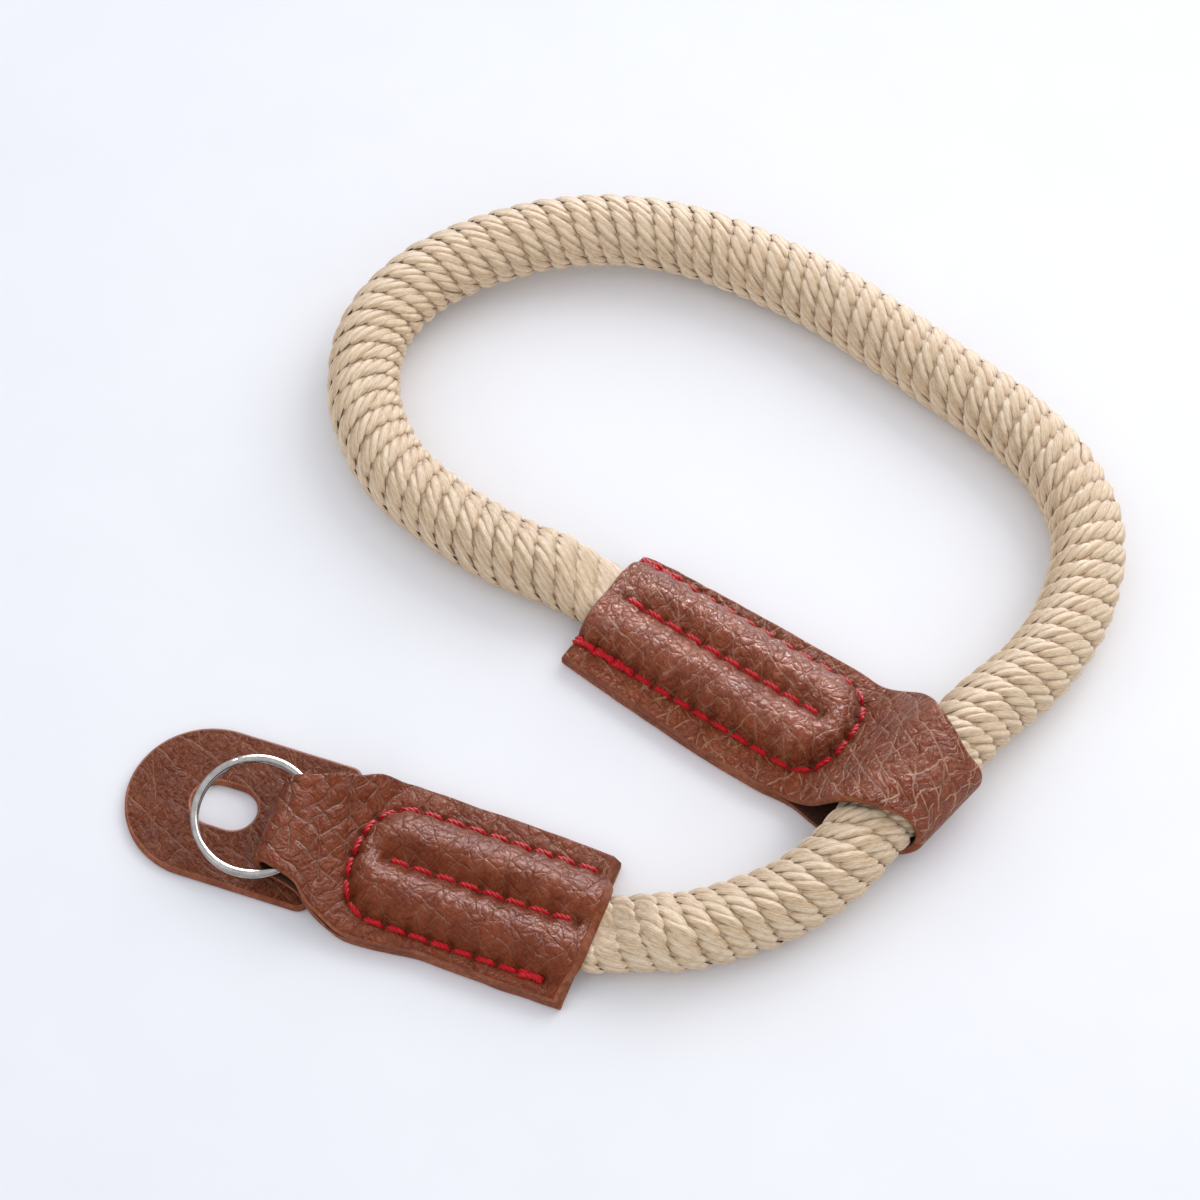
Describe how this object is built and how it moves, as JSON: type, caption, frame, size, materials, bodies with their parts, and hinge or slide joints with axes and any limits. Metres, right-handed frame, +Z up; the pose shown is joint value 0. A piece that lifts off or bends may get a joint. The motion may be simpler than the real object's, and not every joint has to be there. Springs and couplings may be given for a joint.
{
  "type": "camera wrist strap",
  "caption": "Rope wrist strap lying flat: a braided rope loop held by a folded leather slider, with a sewn leather end tab, a split ring and a loose slotted leather pad",
  "frame": {"origin": "on the slider's flat underside, on its middle line, 20 mm in from its open mouth; the strap lies on the plane z = 0", "axes": "+Z up from the surface that the strap lies on, +Y away from the viewer, +X to the viewer's right, as in the picture"},
  "size_m": [0.1327, 0.1242, 0.0138],
  "materials": {
    "rope": "solid braid, slightly glossy beige fibre",
    "leather": "pebbled reddish brown, soft sheen, sewn with red thread",
    "thread": "thick red sewing thread",
    "steel": "polished nickel"
  },
  "bodies": {
    "root": {"rope": "rope", "rope_end_tab": "rope", "rope_end_slider": "rope", "ring_tab": "leather", "slider": "leather", "ring_pad": "leather", "split_ring": "steel"}
  },
  "joints": []
}
